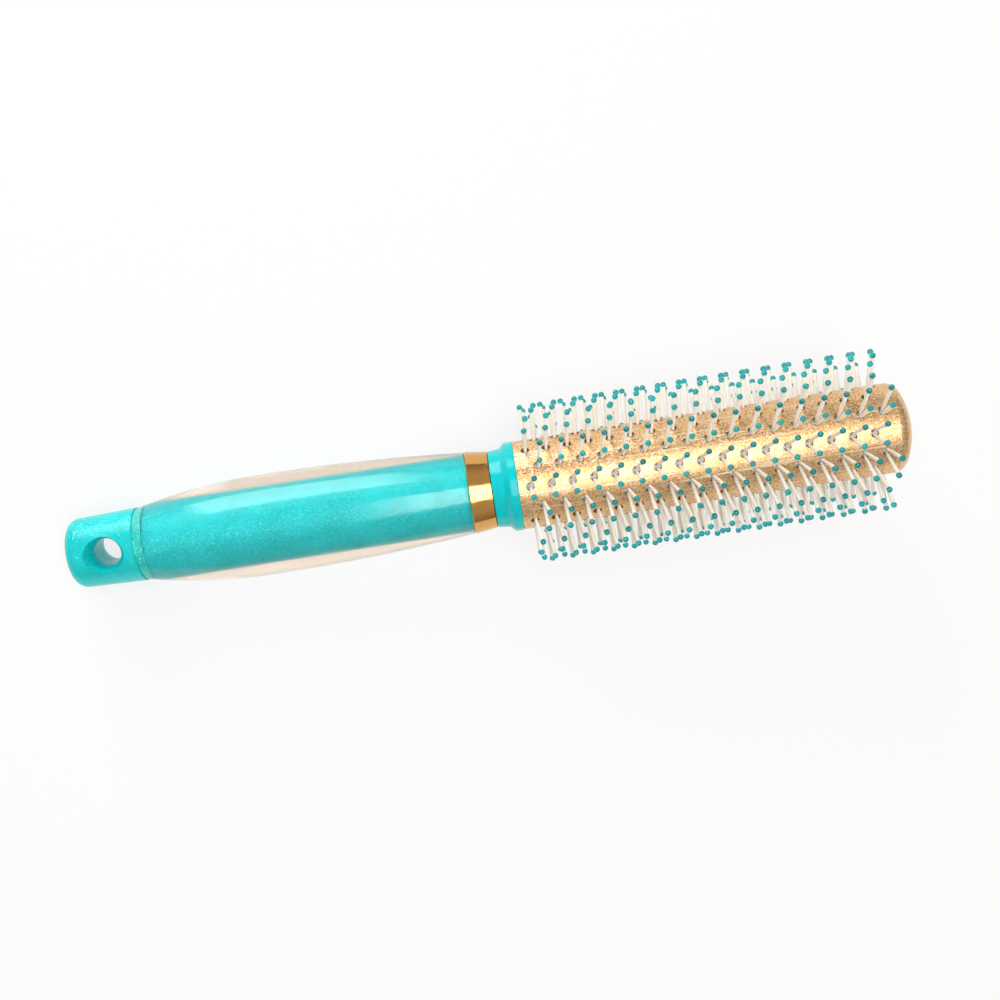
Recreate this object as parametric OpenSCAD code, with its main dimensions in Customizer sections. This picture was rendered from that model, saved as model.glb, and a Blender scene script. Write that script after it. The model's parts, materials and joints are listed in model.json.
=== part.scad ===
// Round styling brush with a ventless metal barrel, rows of twin ball-tipped pins
// and a clear gel grip over a coloured core. It lies as it comes to rest on a
// table: on the rim of its hanging end and on the first ring of pin tips.
// The brush is drawn along its own axis, hanging end at x = 0, and then placed.

/* [Barrel] */
// Outside diameter of the barrel
barrel_d = 25; // [22:0.1:34]
// Wall of the drawn metal tube
barrel_wall = 0.8; // [0.5:0.05:1.2]
// Height of the closed, domed end
dome_h = 5.6; // [5:0.1:12]
// Radius that turns the tube into its dome
dome_edge = 3.5; // [2.5:0.1:8]
// Distance from the collar to the first ring of holes
first_hole = 3.2; // [3:0.1:8]
// Distance from the last ring of holes to the dome
last_hole = 3.8; // [2:0.1:8]

/* [Pin field] */
// Rows of holes around the barrel, an even number
rows = 14; // [10:2:16]
// Holes in each row
rings = 17; // [4:1:22]
// Distance between holes along a row
hole_pitch = 5.8; // [4.6:0.1:8]
// Clearance between a hole's edge and the pins that lean out of it
hole_gap = 0.1; // [0.05:0.05:0.4]

/* [Pins] */
// Height of the ball centres above the barrel
pin_reach = 9.2; // [6:0.1:14]
// Distance between the two ball centres of a pair, round the barrel
pin_spread = 5; // [4:0.1:5.6]
// Distance between the two pins' axes where they start
root_spread = 0.5; // [0.4:0.05:0.8]
// How far below its footing a pin's axis starts
pin_sink = 0.2; // [0.15:0.05:0.4]
// How far the tips lean towards the head
pin_lean = 0.8; // [0:0.1:1.5]
// Distance between the two tips of a pair along the brush
pin_skew = 0.8; // [0:0.1:1.2]
// Diameter of a pin at its root
pin_root_d = 0.8; // [0.6:0.05:1]
// Diameter of a pin below its ball
pin_tip_d = 1.15; // [0.9:0.05:1.3]
// Diameter of the ball on each pin
ball_d = 1.66; // [1.6:0.02:2.4]

/* [Carrier] */
// Width of the strip that carries a row of pins
strip_w = 2.6; // [2:0.1:3.2]
// Thickness of a strip with its web
strip_h = 1.5; // [1.2:0.05:2]
// Height of the web between the two pins of a pair
web_h = 0.6; // [0.3:0.05:0.8]
// Thickness of that web
web_w = 0.36; // [0.3:0.02:0.5]
// Space between a strip and the barrel
strip_gap = 0.2; // [0.15:0.05:0.4]
// Length of strip beyond its last pin
strip_end = 1.9; // [1.2:0.1:2.4]
// Depth of the groove that a strip lies in
groove_depth = 0.7; // [0.4:0.05:1]
// Wall of the carrier under its grooves
carrier_wall = 1.6; // [1:0.1:2.2]

/* [Collar and ring] */
// Length of the flared collar between ring and barrel
collar_len = 7.2; // [6:0.1:12]
// How far the collar's lip stands proud of the barrel
lip_proud = 0.15; // [0.1:0.05:0.6]
// Length of the collar's lip
lip_len = 2.1; // [1.5:0.1:3]
// Length of the curve that rises to the lip
flare_len = 2.2; // [1.2:0.1:3]
// Growth of the collar's radius before its flare
collar_taper = 0.3; // [0:0.05:0.6]
// Length of the collar inside the barrel
spigot_len = 2.4; // [1.5:0.1:2.6]
// Length of the trim ring
ring_len = 6.6; // [4:0.1:12]
// Diameter of the trim ring at the grip
ring_rear_d = 23.5; // [22:0.1:25]
// Diameter of the trim ring at the collar
ring_front_d = 21.7; // [20:0.1:23.2]
// Wall of the trim ring where it is thinnest
ring_wall = 0.8; // [0.5:0.05:1.2]
// Bevel on the edges of ring and lip
bevel = 0.3; // [0.1:0.05:0.5]

/* [Grip] */
// Length of the clear grip sleeve
grip_len = 96.1; // [70:0.1:130]
// Largest diameter of the grip sleeve
grip_d = 29; // [26:0.1:34]
// Distance from the hanging end's seam to the widest place
grip_widest = 37; // [30:0.5:60]
// How far the sleeve stands proud of the trim ring
grip_step = 0.15; // [0:0.05:0.4]
// Bevel on the sleeve's outer edges
grip_bevel = 0.35; // [0.1:0.05:0.6]
// Diameter of the core inside the sleeve
core_d = 14.8; // [12:0.1:18]
// Diameter of the tenon that joins core, collar and carrier
tenon_d = 13; // [10:0.1:14]
// Length of the tenon inside the carrier
tenon_reach = 22; // [10:1:40]

/* [Hanging end] */
// Length of the hanging end
hang_len = 21.4; // [20:0.1:32]
// Diameter where the hanging end's rounding starts
hang_d = 20.3; // [19:0.1:21]
// Diameter of the hanging end at its seam
seam_d = 21.3; // [20.6:0.1:23]
// Height of the rounded end
hang_crown = 4.5; // [3:0.1:6]
// Radius of the rounded end's edge
hang_edge = 3.8; // [2:0.1:5]
// Distance from the end to the hanging hole's centre
hole_from_end = 12.4; // [11.5:0.1:13.5]
// Diameter of the hanging hole at its waist
hang_hole_d = 7.8; // [5:0.1:9]
// Length of the straight waist
hang_waist = 6; // [3:0.1:9]
// Diameter of the hanging hole at its mouths
hang_mouth_d = 10.7; // [9.6:0.1:12.5]
// Turn of the hanging hole about the brush's axis
hang_turn = 6; // [0:0.5:12]
// Length of the hanging end's land under the sleeve
land_len = 2.7; // [1.5:0.1:5]
// Wall of the sleeve over that land
land_cover = 1; // [0.6:0.05:1.6]
// Diameter of the plug that enters the core
plug_d = 9; // [6:0.1:10]
// Length of that plug
plug_len = 12; // [6:0.5:20]

/* [Fits] */
// Radial clearance between pieces that are pushed together
fit_gap = 0.05; // [0.02:0.01:0.1]
// Clearance between faces that meet end to end inside the brush
end_gap = 0.1; // [0.05:0.05:0.3]

/* [Hidden] */
turquoise = [0.05, 0.78, 0.76];
gold = [0.83, 0.62, 0.24];
ivory = [0.96, 0.93, 0.84];
clear_gel = [0.98, 0.88, 0.78, 0.45];
teal = [0.12, 0.60, 0.58];

// Facets for wide curves, for turned pieces and for small ones
arc_fn = 1440;
turn_fn = 96;
small_fn = 32;
// Points on the collar's flare
flare_steps = 12;
// Overlap that makes a cut run clear of a face
clear = 1;
// Excess that makes two arcs cross where they would only touch
hair = 0.01;
// Turn of a pin about its own axis, which keeps its seam off the edge where its cuts meet
seam_turn = 90;

barrel_r = barrel_d / 2;
inner_r = barrel_r - barrel_wall;
row_step = 360 / rows;
stagger = hole_pitch / 2;
barrel_len = first_hole + (rings - 1) * hole_pitch + stagger + last_hole;
dome_edge_r = min(dome_edge, 0.85 * dome_h);

strip_top = inner_r - strip_gap;
strip_floor = strip_top - strip_h;
footing = strip_top - web_h;
carrier_r = strip_floor + groove_depth;
tenon_r = tenon_d / 2;

ball_r = ball_d / 2;
root_z = footing - pin_sink;
tip_r = barrel_r + pin_reach;
tip_z = sqrt(tip_r * tip_r - pin_spread * pin_spread / 4);
ball_seat = sqrt(ball_r * ball_r - pin_tip_d * pin_tip_d / 4);

// Share of a pin's length below the barrel's surface, and the pins' outer edge there
sunk = (barrel_r - root_z) / (tip_z - root_z);
pair_edge = norm([sunk * (pin_lean + pin_skew / 2), root_spread / 2 + sunk * (pin_spread - root_spread) / 2])
    + (pin_root_d + sunk * (pin_tip_d - pin_root_d)) / 2 * norm(reach(-1)) / reach(-1)[2];
hole_r = pair_edge + hole_gap;

hang_r = hang_d / 2;
seam_r = seam_d / 2;
hang_edge_r = min(hang_edge, 0.85 * hang_crown);
land_r = seam_r - land_cover;
core_r = core_d / 2;
grip_r = grip_d / 2;
grip_front_r = ring_rear_d / 2 + grip_step;
ring_bore_r = ring_front_d / 2 - ring_wall;
lip_r = barrel_r + lip_proud;
waist_r = ring_front_d / 2 + collar_taper;

// Stations along the brush, from its hanging end
seam_x = hang_len;
core_x = seam_x + land_len;
ring_x = seam_x + grip_len;
collar_x = ring_x + ring_len;
barrel_x = collar_x + collar_len;
first_x = barrel_x + first_hole;
dome_x = barrel_x + barrel_len;
carrier_x = barrel_x + spigot_len + end_gap;
carrier_end = dome_x - end_gap;

// Radius of a crown that closes a turned end of radius r and height h, edge e
function crown_r(r, h, e) = (h * h + (r - e) * (r - e) - e * e) / (2 * (h - e));
// Radius of an arc that falls by drop over a length
function sag_r(length, drop) = (length * length + drop * drop) / (2 * drop);
// Place of hole k in row i
function hole_x(i, k) = first_x + k * hole_pitch + (i % 2) * stagger;
// Offset of a ball from its pin's root, side -1 or 1
function reach(side) = [
    pin_lean - side * pin_skew / 2, -side * (pin_spread - root_spread) / 2, tip_z - root_z];
function row_name(kind, i) = str(kind, i + 1 < 10 ? "_0" : "_", i + 1);

// The brush lies on two circles, the hanging end's edge and the lowest balls
edge_x = hang_crown;
edge_z = hang_r - hang_edge_r;
ball_x = hole_x(rows / 2, 0) + reach(1)[0];
rest_dx = ball_x - edge_x;
rest_dz = tip_z - edge_z;
rest_tilt = atan2(rest_dz, rest_dx)
    + asin((ball_r - hang_edge_r) / norm([rest_dx, rest_dz]));
axis_h = ball_r + tip_z * cos(rest_tilt) - ball_x * sin(rest_tilt);
hang_crown_r = crown_r(hang_r, hang_crown, hang_edge_r);
dome_crown_r = crown_r(barrel_r, dome_h, dome_edge_r);
low_x = hang_crown_r * cos(rest_tilt) - hang_crown_r;
high_x = (dome_x + dome_h - dome_crown_r) * cos(rest_tilt) + dome_crown_r;
mid_x = (low_x + high_x) / 2;

// Puts the brush, drawn along x, on the table
module at_rest() {
    translate([-mid_x, 0, axis_h]) rotate([0, -rest_tilt, 0]) children();
}

// Turns a profile of radius against length about the brush's axis
module turned(x = 0, fn = turn_fn) {
    translate([x, 0, 0]) rotate([90, 0, 90]) rotate_extrude($fn = fn) children();
}

// A straight stretch of a turned profile
module stretch(r, x0, x1) {
    translate([0, x0]) square([r, x1 - x0]);
}

// Profile of a closed end that grows from radius r at length 0 to a crown at length h
module crown_profile(r, h, e) {
    big = crown_r(r, h, e);
    low = h - big;
    slope = atan2(-low, r - e);
    intersection() {
        union() {
            intersection() {
                translate([0, low]) circle(r = big, $fn = arc_fn);
                polygon([[0, low], [2 * big * cos(slope), low + 2 * big * sin(slope)], [0, low + 2 * big]]);
            }
            translate([r - e, 0]) circle(r = e + hair, $fn = turn_fn);
        }
        square([r, h]);
    }
}

// Hourglass that cuts the hanging hole, straight at its waist
module hang_hole() {
    bore_r = hang_hole_d / 2;
    mouth_z = sqrt(seam_r * seam_r - hang_mouth_d * hang_mouth_d / 4);
    flare_r = sag_r(mouth_z - hang_waist / 2, (hang_mouth_d - hang_hole_d) / 2);
    top = seam_r + clear;
    rotate_extrude($fn = turn_fn) difference() {
        translate([0, -top]) square([hang_mouth_d, 2 * top]);
        for (side = [-1, 1])
            translate([bore_r + flare_r, side * hang_waist / 2]) circle(r = flare_r, $fn = arc_fn);
        translate([bore_r, -hang_waist / 2]) square([hang_mouth_d, hang_waist]);
    }
}

// Turquoise end piece with the hanging hole, a land under the sleeve and a plug
module hang_cap() {
    color(turquoise) at_rest() difference() {
        turned() {
            translate([0, hang_crown]) mirror([0, 1]) crown_profile(hang_r, hang_crown, hang_edge_r);
            polygon([[0, hang_crown], [hang_r, hang_crown], [seam_r, seam_x], [0, seam_x]]);
            stretch(land_r, seam_x, core_x);
            stretch(plug_d / 2, core_x, core_x + plug_len);
        }
        translate([hole_from_end, 0, 0]) rotate([hang_turn, 0, 0]) hang_hole();
    }
}

// Slim pearl core of the grip, with a socket for the plug and a long tenon
module handle_core() {
    tenon_end = carrier_x + tenon_reach;
    color(turquoise) at_rest() turned() difference() {
        union() {
            stretch(core_r, core_x, ring_x);
            stretch(tenon_r, ring_x, tenon_end - bevel);
            translate([0, tenon_end - bevel])
                polygon([[0, 0], [tenon_r, 0], [tenon_r - bevel, bevel], [0, bevel]]);
        }
        stretch(plug_d / 2 + fit_gap, core_x - clear, core_x + plug_len + end_gap);
    }
}

// Cuts the edge at radius r off a turned profile's end at length 0
module edge_cut(r, size) {
    translate([r - size, 0]) polygon([[-clear, -clear], [size + clear, size + clear], [size + clear, -clear]]);
}

// Outline of the sleeve: two arcs that meet at the widest place
module sleeve_outline() {
    widest = seam_x + grip_widest;
    rear_arc = sag_r(grip_widest, grip_r - seam_r);
    front_arc = sag_r(grip_len - grip_widest, grip_r - grip_front_r);
    intersection() {
        translate([grip_r - rear_arc, widest]) circle(r = rear_arc, $fn = arc_fn);
        stretch(grip_r, seam_x, widest);
    }
    intersection() {
        translate([grip_r - front_arc, widest]) circle(r = front_arc, $fn = arc_fn);
        stretch(grip_r, widest, ring_x);
    }
}

// Thick clear gel sleeve over the core
module grip_sleeve() {
    color(clear_gel) at_rest() turned() difference() {
        sleeve_outline();
        translate([0, seam_x]) edge_cut(seam_r, grip_bevel);
        translate([0, ring_x]) mirror([0, 1]) edge_cut(grip_front_r, grip_bevel);
        stretch(land_r + fit_gap, seam_x - clear, core_x);
        stretch(core_r + fit_gap, core_x - clear, ring_x + clear);
    }
}

// Metallised ring between grip and collar
module trim_ring() {
    rear_r = ring_rear_d / 2;
    front_r = ring_front_d / 2;
    color(gold) at_rest() turned(ring_x) polygon([
        [ring_bore_r, 0], [rear_r - bevel, 0], [rear_r, bevel],
        [front_r, ring_len - bevel], [front_r - bevel, ring_len], [ring_bore_r, ring_len]]);
}

// Outline of the collar's flare, from the ring to the lip
module flare_outline() {
    flare_start = collar_len - lip_len - flare_len;
    rise = lip_r - waist_r;
    polygon(concat(
        [[0, 0], [ring_front_d / 2, 0]],
        [for (s = [0 : flare_steps])
            [waist_r + rise * (1 - cos(180 * s / flare_steps)) / 2, flare_start + flare_len * s / flare_steps]],
        [[lip_r, collar_len - bevel], [lip_r - bevel, collar_len], [0, collar_len]]));
}

// Turquoise collar: it carries the ring, and the barrel is pushed onto its spigot
module neck_collar() {
    color(turquoise) at_rest() turned(collar_x) difference() {
        union() {
            stretch(ring_bore_r - fit_gap, -ring_len, 0);
            flare_outline();
            stretch(inner_r - fit_gap, collar_len, collar_len + spigot_len);
        }
        stretch(tenon_r + fit_gap, -ring_len - clear, collar_len + spigot_len + clear);
    }
}

// Outline of a tube with a domed end
module barrel_outline(r, h, e) {
    stretch(r, 0, barrel_len);
    translate([0, barrel_len]) crown_profile(r, h, e);
}

// Drawn metal barrel with staggered rows of pin holes
module barrel() {
    color(gold) at_rest() difference() {
        turned(barrel_x) difference() {
            barrel_outline(barrel_r, dome_h, dome_edge_r);
            barrel_outline(inner_r, dome_h - barrel_wall, dome_edge_r - barrel_wall);
        }
        for (i = [0 : rows - 1], k = [0 : rings - 1])
            rotate([i * row_step, 0, 0]) translate([hole_x(i, k), 0, inner_r - clear])
                cylinder(r = hole_r, h = barrel_wall + 2 * clear, $fn = small_fn);
    }
}

// Inner tube with a groove for each strip and a socket for the tenon
module pin_carrier() {
    color(ivory) at_rest() difference() {
        turned() difference() {
            stretch(carrier_r, carrier_x, carrier_end);
            stretch(tenon_r + fit_gap, carrier_x - clear, carrier_x + tenon_reach + end_gap);
            stretch(strip_floor - carrier_wall, carrier_x + tenon_reach + 2 * carrier_wall, carrier_end + clear);
        }
        for (i = [0 : rows - 1])
            rotate([i * row_step, 0, 0]) translate([carrier_x - clear, -strip_w / 2 - fit_gap, strip_floor])
                cube([carrier_end - carrier_x + 2 * clear, strip_w + 2 * fit_gap, groove_depth + clear]);
    }
}

// Draws its children from a pin's root towards its ball
module towards_ball(side) {
    way = reach(side);
    translate([0, -side * root_spread / 2, root_z])
        rotate([0, acos(way[2] / norm(way)), atan2(way[1], way[0])]) children();
}

// One pin of a pair, which thickens towards its ball, cut flat on its strip and against the web
module pin(side) {
    wide = 2 * pin_reach;
    web_gap = web_w / 2 + fit_gap;
    intersection() {
        towards_ball(side) rotate([0, 0, seam_turn])
            cylinder(h = norm(reach(side)) - ball_seat, d1 = pin_root_d, d2 = pin_tip_d, $fn = small_fn);
        translate([-wide / 2, side < 0 ? web_gap : -web_gap - wide, footing + fit_gap])
            cube(wide);
    }
}

// Ball of epoxy, flat where it sits on its pin
module ball(side) {
    towards_ball(side) translate([0, 0, norm(reach(side))]) intersection() {
        sphere(r = ball_r, $fn = small_fn);
        translate([-ball_d, -ball_d, -ball_seat]) cube(2 * ball_d);
    }
}

// Places its children at every hole of row i
module along_row(i) {
    rotate([i * row_step, 0, 0]) for (k = [0 : rings - 1]) translate([hole_x(i, k), 0, 0]) children();
}

// Strip under row i, which carries its pins on both sides of a web
module strip(i) {
    strip_len = (rings - 1) * hole_pitch + 2 * strip_end;
    color(ivory) at_rest() rotate([i * row_step, 0, 0]) translate([hole_x(i, 0) - strip_end, 0, strip_floor]) {
        translate([0, -strip_w / 2, 0]) cube([strip_len, strip_w, strip_h - web_h]);
        translate([0, -web_w / 2, 0]) cube([strip_len, web_w, strip_h]);
    }
}

// The pins of row i, two at each hole
module pins(i) {
    color(ivory) at_rest() along_row(i) for (side = [-1, 1]) pin(side);
}

// The balls on the pins of row i
module balls(i) {
    color(teal) at_rest() along_row(i) for (side = [-1, 1]) ball(side);
}

hang_cap();
handle_core();
grip_sleeve();
trim_ring();
neck_collar();
barrel();
pin_carrier();
for (i = [0 : rows - 1]) {
    strip(i);
    pins(i);
    balls(i);
}
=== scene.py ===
"""Round styling brush: finishes, clear grip, studio and camera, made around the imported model.

The frame gives the sizes of the brush: the hanging hole gives its tilt, and the nodes give the
stations along its axis. Patterns are drawn in millimetres in the brush's own axes.
"""

import json
import math

import bmesh
import bpy
from mathutils import Matrix, Vector


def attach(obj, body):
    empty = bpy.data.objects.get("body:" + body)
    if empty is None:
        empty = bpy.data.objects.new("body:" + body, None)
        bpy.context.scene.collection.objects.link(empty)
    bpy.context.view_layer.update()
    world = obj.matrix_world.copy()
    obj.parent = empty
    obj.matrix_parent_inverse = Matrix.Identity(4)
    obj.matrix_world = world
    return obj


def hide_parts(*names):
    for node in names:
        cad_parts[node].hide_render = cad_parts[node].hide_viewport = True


bl_info = {
    "name": "Round styling brush",
    "version": (1, 0, 0),
    "blender": (4, 5, 0),
    "location": "3D View > Sidebar > Hairbrush",
    "description": "Dresses the packed round brush and sets up its studio and camera",
    "category": "Object",
}

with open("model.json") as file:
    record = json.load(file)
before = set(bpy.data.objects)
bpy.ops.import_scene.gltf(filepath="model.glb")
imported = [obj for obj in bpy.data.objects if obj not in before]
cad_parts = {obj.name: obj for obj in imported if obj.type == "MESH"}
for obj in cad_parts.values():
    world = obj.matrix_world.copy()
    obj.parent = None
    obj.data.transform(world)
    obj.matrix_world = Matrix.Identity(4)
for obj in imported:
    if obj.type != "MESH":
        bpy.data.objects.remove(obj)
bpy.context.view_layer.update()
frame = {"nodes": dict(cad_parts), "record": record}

MM = 0.001
ROWS = sorted(name[-2:] for name in frame["nodes"] if name.startswith("pins_"))

# The hanging hole's axis is square to the brush's axis, which gives the tilt of the brush at rest
HOLE = next(m for m in frame["record"]["mounts"] if m["name"] == "hanging_hole")
TILT = math.atan2(-HOLE["axis"][0], HOLE["axis"][2])
ORIGIN = Vector(HOLE["pos_m"])
ALONG = Vector((math.cos(TILT), 0, math.sin(TILT)))
SIDE = Vector((0, 1, 0))
UP = ALONG.cross(SIDE)

# Noise seldom leaves the middle of its range, so a Map Range node takes one of these stretches of it
MIDDLE = {"From Min": 0.35, "From Max": 0.65}
WIDE = {"From Min": 0.3, "From Max": 0.7}

# Name, place in metres, direction of the second side, both sides in metres, and power in watts
LAMPS = (
    ("overhead_softbox", Vector((0.08, -0.02, 1.0)), SIDE, (0.34, 0.74), 4.6),
    ("side_window", Vector((-0.234, 0.817, 0.293)), UP, (0.46, 0.56), 4.4),
)


def linear(code):
    """Linear colour of an sRGB hex value such as #D6A04A."""
    parts = [int(code[i : i + 2], 16) / 255 for i in (1, 3, 5)]
    return tuple(c / 12.92 if c <= 0.04045 else ((c + 0.055) / 1.055) ** 2.4 for c in parts)


def opaque(colour, share=1.0):
    """Opaque colour for a socket, at a share of its strength."""
    return (*(share * c for c in colour), 1)


def stations(name):
    """Distance along the axis and from the axis, in metres, of each vertex of a CAD node."""
    found = []
    for vertex in frame["nodes"][name].data.vertices:
        from_hole = vertex.co - ORIGIN
        along = from_hole.dot(ALONG)
        found.append((along, (from_hole - along * ALONG).length))
    return found


def feed(tree, node, inputs):
    """Sets or links a node's inputs, where a node as a value stands for its first output in use."""
    for key, value in inputs.items():
        if isinstance(value, bpy.types.Node):
            value = next(socket for socket in value.outputs if socket.enabled)
        if isinstance(value, bpy.types.NodeSocket):
            tree.links.new(value, node.inputs[key])
        else:
            node.inputs[key].default_value = value


def add(tree, kind, inputs=None, **settings):
    """Adds one shader node with its settings, and sets or links its inputs."""
    made = tree.nodes.new("ShaderNode" + kind)
    for name, value in settings.items():
        setattr(made, name, value)
    feed(tree, made, inputs or {})
    return made


def new_material(name, colour, **surface):
    """A material with one shader, and its node tree, shader and place in the brush's axes in mm."""
    material = bpy.data.materials.new(name)
    material.use_nodes = True
    material.diffuse_color = opaque(colour)
    tree = material.node_tree
    shader = tree.nodes["Principled BSDF"]
    surface = {key.replace("_", " "): value for key, value in surface.items()}
    feed(tree, shader, {"Base Color": opaque(colour), **surface})
    metres = add(tree, "TexCoord").outputs["Object"]
    to_mm = {"Location": ORIGIN, "Rotation": (0, -TILT, 0), "Scale": (MM, MM, MM)}
    place = add(tree, "Mapping", {"Vector": metres, **to_mm}, vector_type="TEXTURE")
    return material, tree, shader, place


def dress(names, material):
    """Gives CAD nodes their material through their slots."""
    for name in names:
        slots = frame["nodes"][name].material_slots
        if not slots:
            frame["nodes"][name].data.materials.append(material)
        for slot in slots:
            slot.link = "OBJECT"
            slot.material = material


def streaks(tree, place, length_mm, width_mm, turn=0.0, detail=2.0):
    """Noise drawn out into streaks that run at an angle to the brush's axis, in degrees."""
    drawn_out = {"Rotation": (0, 0, math.radians(turn)), "Scale": (length_mm, width_mm, width_mm)}
    own = add(tree, "Mapping", {"Vector": place, **drawn_out}, vector_type="TEXTURE")
    return add(tree, "TexNoise", {"Vector": own, "Scale": 1.0, "Detail": detail})


def flakes(tree, place, size_mm, tip, share):
    """Normal of pearl flakes, of which a share lies tilted at random, and how strongly each shows."""
    cells = add(tree, "TexVoronoi", {"Vector": place, "Scale": 1 / size_mm}, feature="F1")
    pick = add(tree, "SeparateColor", {"Color": cells.outputs["Color"]}).outputs["Blue"]
    shows = add(tree, "MapRange", {"Value": pick, "From Min": 1 - share, "From Max": 1.0})
    tilt = add(tree, "VectorMath", {0: cells.outputs["Color"], 1: (0.5, 0.5, 0.5)}, operation="SUBTRACT")
    reach = add(tree, "Math", {0: shows, 1: tip}, operation="MULTIPLY")
    lean = add(tree, "VectorMath", {0: tilt, "Scale": reach}, operation="SCALE")
    outward = add(tree, "NewGeometry").outputs["Normal"]
    summed = add(tree, "VectorMath", {0: outward, 1: lean}, operation="ADD")
    return add(tree, "VectorMath", {0: summed}, operation="NORMALIZE"), shows


def pearl_abs(name, colour, flake_mm, roughness, gloss):
    """Moulded ABS with pearl flake: a deep even colour in which single flakes light up."""
    material, tree, shader, place = new_material(name, colour, Roughness=roughness, Specular_IOR_Level=gloss)
    normal, shows = flakes(tree, place, flake_mm, tip=0.7, share=0.35)
    # The pigment lies a little uneven, in clouds about 9 mm across
    clouds = add(tree, "TexNoise", {"Vector": place, "Scale": 1 / 9, "Detail": 2.0})
    uneven = add(tree, "MapRange", {"Value": clouds, **MIDDLE})
    deep = opaque(colour, 0.86)
    body = add(tree, "Mix", {"Factor": uneven, "A": deep, "B": opaque(colour)}, data_type="RGBA")
    # A flake that lights up is about a third brighter than the plastic round it
    bright = (*(min(1, 1.3 * c + 0.05) for c in colour), 1)
    base = add(tree, "Mix", {"Factor": shows, "A": body, "B": bright}, data_type="RGBA")
    metallic = add(tree, "MapRange", {"Value": shows, "To Min": 0.0, "To Max": 0.5})
    feed(tree, shader, {"Base Color": base, "Metallic": metallic, "Normal": normal})
    return material


def turned(name, outline, steps):
    """A mesh turned about the brush's axis from a closed outline of (station, radius) in metres."""
    mesh = bpy.data.meshes.new(name)
    form = bmesh.new()
    rings = []
    for k in range(steps):
        angle = 2 * math.pi * k / steps
        out = SIDE * math.sin(angle) + UP * math.cos(angle)
        rings.append([form.verts.new(ORIGIN + ALONG * s + out * r) for s, r in outline])
    count = len(outline)
    for k in range(steps):
        here, there = rings[k], rings[(k + 1) % steps]
        for j in range(count):
            form.faces.new((here[j], here[(j + 1) % count], there[(j + 1) % count], there[j]))
    bmesh.ops.recalc_face_normals(form, faces=form.faces)
    for face in form.faces:
        face.smooth = True
    sharp = math.radians(40)
    for edge in form.edges:
        edge.smooth = edge.calc_face_angle(0) < sharp
    form.to_mesh(mesh)
    form.free()
    piece = bpy.data.objects.new(name, mesh)
    bpy.context.scene.collection.objects.link(piece)
    return piece


def arc_radius(station, crest, crest_r, end, end_r):
    """Radius at a station of the arc that falls from a crest to an end radius."""
    length = abs(end - crest)
    drop = crest_r - end_r
    big = (length * length + drop * drop) / (2 * drop)
    return crest_r - big + math.sqrt(big * big - (station - crest) ** 2)


def corner(centre_s, centre_r, radius, start, stop, steps=6):
    """Points of a rounded edge, from one angle to another in degrees."""
    angles = [math.radians(start + (stop - start) * k / steps) for k in range(steps + 1)]
    return [(centre_s + radius * math.cos(a), centre_r + radius * math.sin(a)) for a in angles]


def grip_outline(edge, contact, steps):
    """Outline of the clear sleeve, with rounded ends, that wets the core and the land inside it."""
    sleeve = stations("grip_sleeve")
    core = stations("handle_core")
    rear = min(s for s, r in sleeve)
    front = max(s for s, r in sleeve)
    crest_r = max(r for s, r in sleeve)
    # A vertex counts as on the crest within 0.001 mm of its radius, and as at an end within 0.01 mm
    crest = min(s for s, r in sleeve if r > crest_r - 0.001 * MM)
    rear_r = max(r for s, r in sleeve if s < rear + 0.01 * MM)
    front_r = max(r for s, r in sleeve if s > front - 0.01 * MM)
    core_rear = min(s for s, r in core)
    core_r = max(r for s, r in core) - contact
    # The land is the end piece's part that lies more than 0.5 mm inside the sleeve
    land_r = max(r for s, r in stations("hang_cap") if s > rear + 0.5 * MM) - contact
    # Each rounded edge stops short of square by about the slope of the arc that it meets
    outline = corner(rear + edge, rear_r - edge, edge, 180, 100)
    for k in range(1, steps):
        s = rear + edge + (front - rear - 2 * edge) * k / steps
        end, end_r = (rear, rear_r) if s < crest else (front, front_r)
        outline.append((s, arc_radius(s, crest, crest_r, end, end_r)))
    outline += corner(front - edge, front_r - edge, edge, 84, 0)
    outline += [(front, core_r), (core_rear, core_r), (core_rear, land_r), (rear, land_r)]
    return outline


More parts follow.
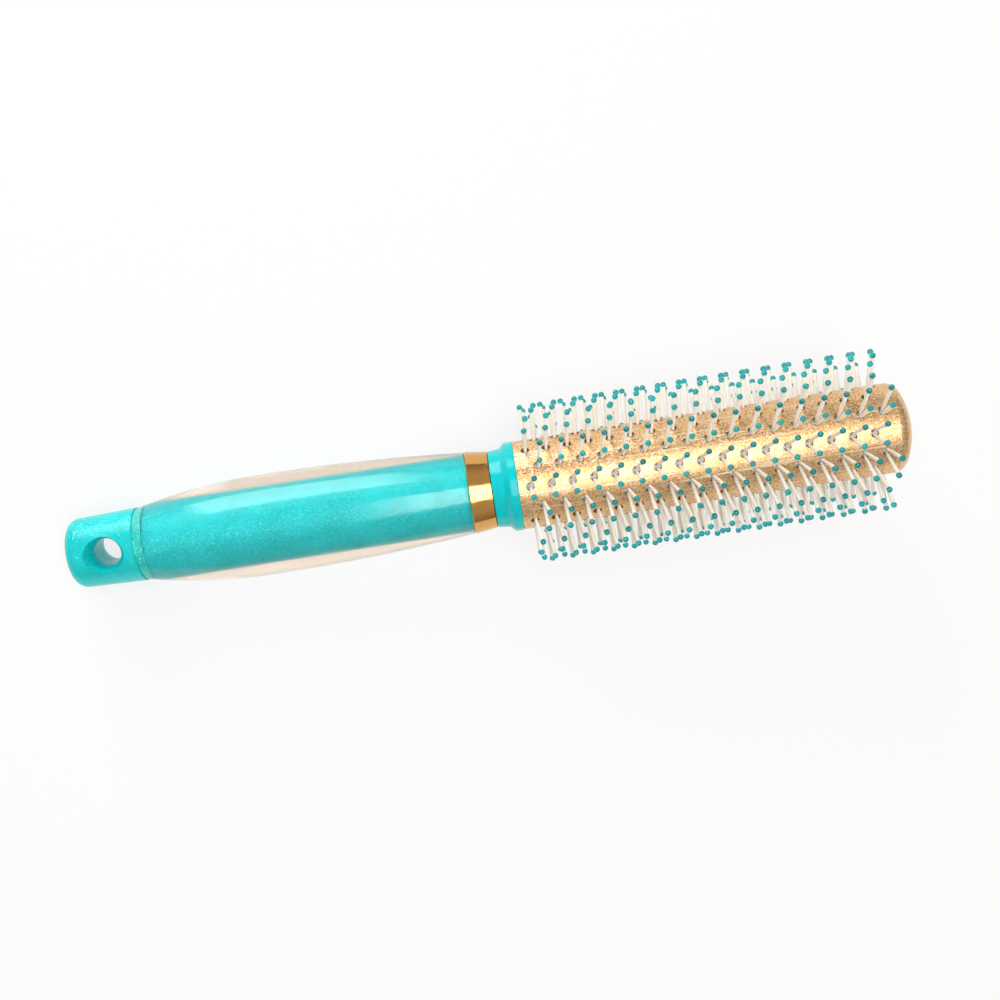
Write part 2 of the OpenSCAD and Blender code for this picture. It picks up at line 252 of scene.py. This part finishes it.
class HAIRBRUSH_PG_finish(bpy.types.PropertyGroup):
    """Colours of the brush"""

    pearl: bpy.props.FloatVectorProperty(
        name="Pearl turquoise",
        description="Colour of the end piece",
        subtype="COLOR",
        min=0,
        max=1,
        default=linear("#00D2D4"),
    )
    core: bpy.props.FloatVectorProperty(
        name="Core turquoise",
        description="Colour of the core inside the clear grip",
        subtype="COLOR",
        min=0,
        max=1,
        default=linear("#00CCDC"),
    )
    gel: bpy.props.FloatVectorProperty(
        name="Gel tint",
        description="Tint of the clear grip",
        subtype="COLOR",
        min=0,
        max=1,
        default=linear("#FBE4D0"),
    )
    ring: bpy.props.FloatVectorProperty(
        name="Ring gold",
        description="Colour of the polished ring",
        subtype="COLOR",
        min=0,
        max=1,
        default=linear("#DAA45E"),
    )
    collar: bpy.props.FloatVectorProperty(
        name="Collar turquoise",
        description="Colour of the collar between ring and barrel",
        subtype="COLOR",
        min=0,
        max=1,
        default=linear("#00CCD2"),
    )
    barrel: bpy.props.FloatVectorProperty(
        name="Barrel gold",
        description="Colour of the satin metal barrel",
        subtype="COLOR",
        min=0,
        max=1,
        default=linear("#F8D8A6"),
    )
    barrel_deep: bpy.props.FloatVectorProperty(
        name="Barrel grain",
        description="Colour in the etched grain of the barrel",
        subtype="COLOR",
        min=0,
        max=1,
        default=linear("#CC8C46"),
    )
    barrel_bare: bpy.props.FloatVectorProperty(
        name="Barrel scratches",
        description="Colour of the metal where the barrel is scratched",
        subtype="COLOR",
        min=0,
        max=1,
        default=linear("#FFF6E4"),
    )
    nylon: bpy.props.FloatVectorProperty(
        name="Pin ivory",
        description="Colour of the nylon pins and their strips",
        subtype="COLOR",
        min=0,
        max=1,
        default=linear("#FFFDF8"),
    )
    epoxy: bpy.props.FloatVectorProperty(
        name="Ball teal",
        description="Colour of the epoxy ball on each pin",
        subtype="COLOR",
        min=0,
        max=1,
        default=linear("#2AC8CE"),
    )


class HAIRBRUSH_PG_make(bpy.types.PropertyGroup):
    """Sizes of what is made here"""

    gel_edge: bpy.props.FloatProperty(
        name="Gel edge",
        description="Radius of the rounded edges at both ends of the clear grip",
        unit="LENGTH",
        min=0.1 * MM,
        max=0.8 * MM,
        default=0.35 * MM,
    )
    gel_contact: bpy.props.FloatProperty(
        name="Gel contact",
        description="How far the gel is drawn into the core, so that no air shows between them",
        unit="LENGTH",
        min=0.05 * MM,
        max=0.5 * MM,
        default=0.2 * MM,
    )
    outline_steps: bpy.props.IntProperty(
        name="Outline steps",
        description="Steps along the brush on turned pieces",
        min=24,
        max=256,
        default=96,
    )
    turn_steps: bpy.props.IntProperty(
        name="Turn steps",
        description="Steps round the brush on turned pieces",
        min=48,
        max=512,
        default=256,
    )
    floor_half: bpy.props.FloatProperty(
        name="Floor reach",
        description="Distance from the brush to each side of the floor",
        unit="LENGTH",
        min=1.0,
        max=50.0,
        default=12.0,
    )
    camera_place: bpy.props.FloatVectorProperty(
        name="Camera place",
        description="Place of the camera above the brush",
        subtype="TRANSLATION",
        unit="LENGTH",
        default=(-24.12 * MM, 23.21 * MM, 395.46 * MM),
    )
    camera_turn: bpy.props.FloatVectorProperty(
        name="Camera turn",
        description="Turn of the camera from looking straight down",
        subtype="EULER",
        default=(math.radians(-5.707), math.radians(-1.251), math.radians(-9.060)),
    )
    camera_lens: bpy.props.FloatProperty(
        name="Camera lens",
        description="Focal length on a sensor 36 mm wide",
        min=20,
        max=120,
        default=47.62,
    )
    camera_shift: bpy.props.FloatVectorProperty(
        name="Camera shift",
        description="Shift of the picture, as a share of its width, as the photograph was cropped",
        size=2,
        default=(0.090, 0.0562),
    )


class HAIRBRUSH_OT_end_piece(bpy.types.Operator):
    """Gives the end piece its pearl plastic"""

    bl_idname = "hairbrush.end_piece"
    bl_label = "End piece"

    def execute(self, context):
        colour = context.scene.hairbrush_finish.pearl
        # A flake is about 0.05 mm across: it is drawn 0.26 mm across, because a finer one doesn't show
        pearl = pearl_abs("pearl_abs_end_piece", colour, flake_mm=0.26, roughness=0.22, gloss=0.4)
        dress(["hang_cap"], pearl)
        return {"FINISHED"}


class HAIRBRUSH_OT_core(bpy.types.Operator):
    """Gives the core inside the grip its pearl plastic"""

    bl_idname = "hairbrush.core"
    bl_label = "Core"

    def execute(self, context):
        colour = context.scene.hairbrush_finish.core
        # The same flake as in the end piece, drawn finer, because the gel magnifies it
        pearl = pearl_abs("pearl_abs_core", colour, flake_mm=0.18, roughness=0.4, gloss=0.15)
        dress(["handle_core"], pearl)
        return {"FINISHED"}


class HAIRBRUSH_OT_clear_grip(bpy.types.Operator):
    """Makes the clear gel sleeve, which takes the place of its plain solid"""

    bl_idname = "hairbrush.clear_grip"
    bl_label = "Clear grip"

    def execute(self, context):
        make = context.scene.hairbrush_make
        outline = grip_outline(make.gel_edge, make.gel_contact, make.outline_steps)
        grip = turned("clear_grip_sleeve", outline, make.turn_steps)
        # Thermoplastic gel, moulded and a little dulled by use: clear, with soft highlights and a warm tint
        gel, tree, shader, place = new_material(
            "clear_tpe_gel",
            context.scene.hairbrush_finish.gel,
            IOR=1.49,
            Specular_IOR_Level=0.7,
            Transmission_Weight=1.0,
        )
        # The dulled places are about 6 mm across
        haze = add(tree, "TexNoise", {"Vector": place, "Scale": 1 / 6, "Detail": 3.0})
        rough = add(tree, "MapRange", {"Value": haze, **MIDDLE, "To Min": 0.14, "To Max": 0.19})
        feed(tree, shader, {"Roughness": rough})
        grip.data.materials.append(gel)
        # Clear gel lets the light through, so it throws no shadow on the core
        grip.visible_shadow = False
        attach(grip, "root")
        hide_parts("grip_sleeve")
        return {"FINISHED"}


class HAIRBRUSH_OT_ring(bpy.types.Operator):
    """Gives the trim ring its polished gold"""

    bl_idname = "hairbrush.ring"
    bl_label = "Ring"

    def execute(self, context):
        # Aluminium, polished and gold anodised: a clean mirror with a trace of turning lines
        gold, tree, shader, place = new_material(
            "polished_gold_aluminium", context.scene.hairbrush_finish.ring, Metallic=1.0
        )
        # Turning lines are about 0.05 mm apart: they are drawn 0.25 mm apart, because finer ones don't show
        lines = streaks(tree, place, length_mm=0.25, width_mm=40.0)
        lined = add(tree, "MapRange", {"Value": lines, **WIDE, "To Min": 0.08, "To Max": 0.15})
        # The worn places are about 2.5 mm across
        wear = add(tree, "TexNoise", {"Vector": place, "Scale": 1 / 2.5, "Detail": 4.0})
        worn = add(
            tree,
            "MapRange",
            {"Value": wear, "From Min": 0.5, "From Max": 0.7, "To Min": 0.0, "To Max": 0.1},
        )
        rough = add(tree, "Math", {0: lined, 1: worn}, operation="ADD")
        bump = add(tree, "Bump", {"Height": lines, "Strength": 0.25, "Distance": 0.01 * MM})
        feed(tree, shader, {"Roughness": rough, "Normal": bump})
        dress(["trim_ring"], gold)
        return {"FINISHED"}


class HAIRBRUSH_OT_collar(bpy.types.Operator):
    """Gives the collar its glossy plastic"""

    bl_idname = "hairbrush.collar"
    bl_label = "Collar"

    def execute(self, context):
        # ABS from a polished tool: an even colour under a sharp gloss
        colour = context.scene.hairbrush_finish.collar
        abs_plastic, tree, shader, place = new_material("glossy_abs_collar", colour, Specular_IOR_Level=0.3)
        # The rubbed places are about 1.5 mm across
        rubbed = add(tree, "TexNoise", {"Vector": place, "Scale": 1 / 1.5, "Detail": 4.0})
        faded = add(tree, "MapRange", {"Value": rubbed, **WIDE})
        deep = opaque(colour, 0.9)
        base = add(tree, "Mix", {"Factor": faded, "A": deep, "B": opaque(colour)}, data_type="RGBA")
        rough = add(
            tree,
            "MapRange",
            {"Value": rubbed, "From Min": 0.4, "From Max": 0.7, "To Min": 0.08, "To Max": 0.2},
        )
        # The moulded surface waves a little, every 1.2 mm or so
        waves = add(tree, "TexNoise", {"Vector": place, "Scale": 1 / 1.2, "Detail": 1.0})
        bump = add(tree, "Bump", {"Height": waves, "Strength": 0.3, "Distance": 0.02 * MM})
        feed(tree, shader, {"Base Color": base, "Roughness": rough, "Normal": bump})
        dress(["neck_collar"], abs_plastic)
        return {"FINISHED"}


class HAIRBRUSH_OT_barrel(bpy.types.Operator):
    """Gives the barrel its satin gold with grain and scratches"""

    bl_idname = "hairbrush.barrel"
    bl_label = "Barrel"

    def execute(self, context):
        finish = context.scene.hairbrush_finish
        # Aluminium, drawn and gold anodised: satin, with a fine grain along it and light scratches
        gold, tree, shader, place = new_material("satin_gold_aluminium", finish.barrel, Metallic=1.0)
        # The etched grain is about 0.1 mm: it is drawn 0.4 mm across, because a finer one doesn't show
        etch = streaks(tree, place, length_mm=0.5, width_mm=0.4, detail=3.0)
        # Drawing lines are about 0.05 mm wide: they are drawn 0.35 mm wide for the same reason
        drawn = streaks(tree, place, length_mm=14.0, width_mm=0.35)
        scratch = self.scratches(tree, place)
        grain = add(tree, "MapRange", {"Value": etch, **MIDDLE})
        deep, plain, bare = opaque(finish.barrel_deep), opaque(finish.barrel), opaque(finish.barrel_bare)
        metal = add(tree, "Mix", {"Factor": grain, "A": deep, "B": plain}, data_type="RGBA")
        base = add(tree, "Mix", {"Factor": scratch, "A": metal, "B": bare}, data_type="RGBA")
        etched = add(tree, "MapRange", {"Value": etch, **WIDE, "To Min": 0.24, "To Max": 0.4})
        lined = add(tree, "MapRange", {"Value": drawn, **MIDDLE, "To Min": 0.0, "To Max": 0.08})
        rough = add(tree, "Math", {0: etched, 1: lined}, operation="ADD")
        relief = add(tree, "Math", {0: etch, 1: drawn}, operation="ADD")
        relief = add(tree, "Math", {0: relief, 1: scratch}, operation="SUBTRACT")
        bump = add(tree, "Bump", {"Height": relief, "Strength": 0.6, "Distance": 0.03 * MM})
        feed(tree, shader, {"Base Color": base, "Roughness": rough, "Normal": bump})
        dress(["barrel"], gold)
        return {"FINISHED"}

    def scratches(self, tree, place):
        """Scratches of three lengths in mm, each at its own angle to the axis in degrees."""
        marks = []
        for length_mm, turn in ((50, 1), (12, 38), (9, -55)):
            # They are about 0.05 mm wide: they are drawn 0.22 mm wide, because finer ones don't show
            lines = streaks(tree, place, length_mm, 0.22, turn, detail=0.0)
            # Only the peaks of the noise show, so the scratches lie far apart
            marks.append(add(tree, "MapRange", {"Value": lines, "From Min": 0.7, "From Max": 0.78}))
        two = add(tree, "Math", {0: marks[0], 1: marks[1]}, operation="MAXIMUM")
        return add(tree, "Math", {0: two, 1: marks[2]}, operation="MAXIMUM")


class HAIRBRUSH_OT_pins(bpy.types.Operator):
    """Gives the pins, their strips and the carrier their nylon"""

    bl_idname = "hairbrush.pins"
    bl_label = "Pins"

    def execute(self, context):
        # Nylon as moulded: ivory, semi-gloss and a little translucent
        colour = context.scene.hairbrush_finish.nylon
        nylon, tree, shader, place = new_material(
            "ivory_nylon", colour, Subsurface_Weight=0.1, Subsurface_Scale=0.4 * MM
        )
        # The nylon is a little yellower in places, which are about 5 mm across
        yellower = (*(share * c for share, c in zip((1.0, 0.97, 0.9), colour)), 1)
        tint = add(tree, "TexNoise", {"Vector": place, "Scale": 1 / 5, "Detail": 1.0})
        paler = add(tree, "MapRange", {"Value": tint, **MIDDLE})
        base = add(tree, "Mix", {"Factor": paler, "A": yellower, "B": opaque(colour)}, data_type="RGBA")
        # The moulded grain is about 0.05 mm: it is drawn 0.3 mm across, because a finer one doesn't show
        grain = add(tree, "TexNoise", {"Vector": place, "Scale": 1 / 0.3, "Detail": 2.0})
        rough = add(tree, "MapRange", {"Value": grain, **WIDE, "To Min": 0.28, "To Max": 0.42})
        bump = add(tree, "Bump", {"Height": grain, "Strength": 0.3, "Distance": 0.02 * MM})
        feed(tree, shader, {"Base Color": base, "Roughness": rough, "Normal": bump})
        dress([f"{kind}_{row}" for kind in ("pins", "strip") for row in ROWS] + ["pin_carrier"], nylon)
        return {"FINISHED"}


class HAIRBRUSH_OT_balls(bpy.types.Operator):
    """Gives the balls on the pins their epoxy"""

    bl_idname = "hairbrush.balls"
    bl_label = "Balls"

    def execute(self, context):
        # Epoxy, dipped and cured: a clear teal bead with a wet gloss, in which the pin's end shows
        colour = context.scene.hairbrush_finish.epoxy
        epoxy, tree, shader, place = new_material("teal_epoxy", colour, IOR=1.5, Transmission_Weight=0.7)
        # Beads lie 3 to 6 mm apart, so noise 4 mm across makes one bead a little deeper than the next
        batch = add(tree, "TexNoise", {"Vector": place, "Scale": 1 / 4, "Detail": 2.0})
        paler = add(tree, "MapRange", {"Value": batch, **MIDDLE})
        deep = opaque(colour, 0.75)
        base = add(tree, "Mix", {"Factor": paler, "A": deep, "B": opaque(colour)}, data_type="RGBA")
        rough = add(tree, "MapRange", {"Value": batch, **MIDDLE, "To Min": 0.04, "To Max": 0.12})
        feed(tree, shader, {"Base Color": base, "Roughness": rough})
        dress([f"balls_{row}" for row in ROWS], epoxy)
        return {"FINISHED"}


class HAIRBRUSH_OT_stage(bpy.types.Operator):
    """Makes the floor, the lamps, the world and the camera"""

    bl_idname = "hairbrush.stage"
    bl_label = "Stage"

    def execute(self, context):
        scene = context.scene
        make = scene.hairbrush_make
        self.floor(scene, make.floor_half)
        for lamp in LAMPS:
            self.lamp(scene, *lamp)
        self.room(scene)
        camera = bpy.data.cameras.new("photo_camera")
        camera.lens = make.camera_lens
        camera.sensor_width = 36
        camera.shift_x, camera.shift_y = make.camera_shift
        seen = bpy.data.objects.new("photo_camera", camera)
        seen.location = make.camera_place
        seen.rotation_euler = make.camera_turn
        scene.collection.objects.link(seen)
        scene.camera = seen
        scene.view_settings.view_transform = "Standard"
        return {"FINISHED"}

    def floor(self, scene, half):
        """A plain white table top, lightened to the camera, in the metal and through the gel."""
        mesh = bpy.data.meshes.new("floor")
        corners = [(-half, -half, 0), (half, -half, 0), (half, half, 0), (-half, half, 0)]
        mesh.from_pydata(corners, [], [(0, 1, 2, 3)])
        floor = bpy.data.objects.new("floor", mesh)
        scene.collection.objects.link(floor)
        # Melamine board, matt: even and white, so that only the brush's shadow shows on it
        paint, tree, shader, _ = new_material("matt_white_board", linear("#F4F4F3"), Roughness=0.9)
        rays = add(tree, "LightPath").outputs
        seen = add(tree, "Math", {0: rays["Is Camera Ray"], 1: rays["Is Glossy Ray"]}, operation="ADD")
        through = rays["Is Transmission Ray"]
        seen = add(tree, "Math", {0: seen, 1: through}, operation="ADD", use_clamp=True)
        lightened = add(tree, "Math", {0: seen, 1: 0.75}, operation="MULTIPLY")
        white = add(tree, "Emission", {"Color": (1, 1, 1, 1), "Strength": 1.0})
        mixed = add(tree, "MixShader", {0: lightened, 1: shader, 2: white})
        feed(tree, tree.nodes["Material Output"], {"Surface": mixed})
        mesh.materials.append(paint)

    def room(self, scene):
        """A plain room, pale overhead and darker low down, so that the metal shades off at its edges."""
        world = bpy.data.worlds.new("dim_room")
        scene.world = world
        world.use_nodes = True
        tree = world.node_tree
        sky = add(tree, "TexCoord").outputs["Generated"]
        height = add(tree, "SeparateXYZ", {"Vector": sky}).outputs["Z"]
        pale = add(tree, "MapRange", {"Value": height, "From Min": 0.0, "From Max": 0.6})
        low, overhead = opaque(linear("#8C867E")), opaque(linear("#C2C0BC"))
        paint = add(tree, "Mix", {"Factor": pale, "A": low, "B": overhead}, data_type="RGBA")
        feed(tree, tree.nodes["Background"], {"Color": paint})

    def lamp(self, scene, name, place, upright, size, power):
        """A soft white rectangular lamp that faces the brush, with one side along a given direction."""
        light = bpy.data.lights.new(name, "AREA")
        light.shape = "RECTANGLE"
        light.size, light.size_y = size
        light.energy = power
        lamp = bpy.data.objects.new(name, light)
        back = place.normalized()
        across = upright.cross(back).normalized()
        turn = Matrix((across, back.cross(across), back)).transposed()
        lamp.matrix_world = Matrix.Translation(place) @ turn.to_4x4()
        scene.collection.objects.link(lamp)


class HAIRBRUSH_PT_panel(bpy.types.Panel):
    """Lists the pieces of the brush, its colours and its sizes"""

    bl_idname = "HAIRBRUSH_PT_panel"
    bl_label = "Round styling brush"
    bl_space_type = "VIEW_3D"
    bl_region_type = "UI"
    bl_category = "Hairbrush"

    def draw(self, context):
        column = self.layout.column()
        for operator in OPERATORS:
            column.operator(operator.bl_idname)
        for group in (context.scene.hairbrush_finish, context.scene.hairbrush_make):
            for name in group.__annotations__:
                column.prop(group, name)


OPERATORS = (
    HAIRBRUSH_OT_end_piece,
    HAIRBRUSH_OT_core,
    HAIRBRUSH_OT_clear_grip,
    HAIRBRUSH_OT_ring,
    HAIRBRUSH_OT_collar,
    HAIRBRUSH_OT_barrel,
    HAIRBRUSH_OT_pins,
    HAIRBRUSH_OT_balls,
    HAIRBRUSH_OT_stage,
)
CLASSES = (HAIRBRUSH_PG_finish, HAIRBRUSH_PG_make, *OPERATORS, HAIRBRUSH_PT_panel)


def register():
    for entry in CLASSES:
        bpy.utils.register_class(entry)
    bpy.types.Scene.hairbrush_finish = bpy.props.PointerProperty(type=HAIRBRUSH_PG_finish)
    bpy.types.Scene.hairbrush_make = bpy.props.PointerProperty(type=HAIRBRUSH_PG_make)


def unregister():
    del bpy.types.Scene.hairbrush_make
    del bpy.types.Scene.hairbrush_finish
    for entry in reversed(CLASSES):
        bpy.utils.unregister_class(entry)


def main():
    """Registers the add-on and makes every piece."""
    register()
    bpy.ops.hairbrush.end_piece()
    bpy.ops.hairbrush.core()
    bpy.ops.hairbrush.clear_grip()
    bpy.ops.hairbrush.ring()
    bpy.ops.hairbrush.collar()
    bpy.ops.hairbrush.barrel()
    bpy.ops.hairbrush.pins()
    bpy.ops.hairbrush.balls()
    bpy.ops.hairbrush.stage()


if __name__ == "__main__":
    main()
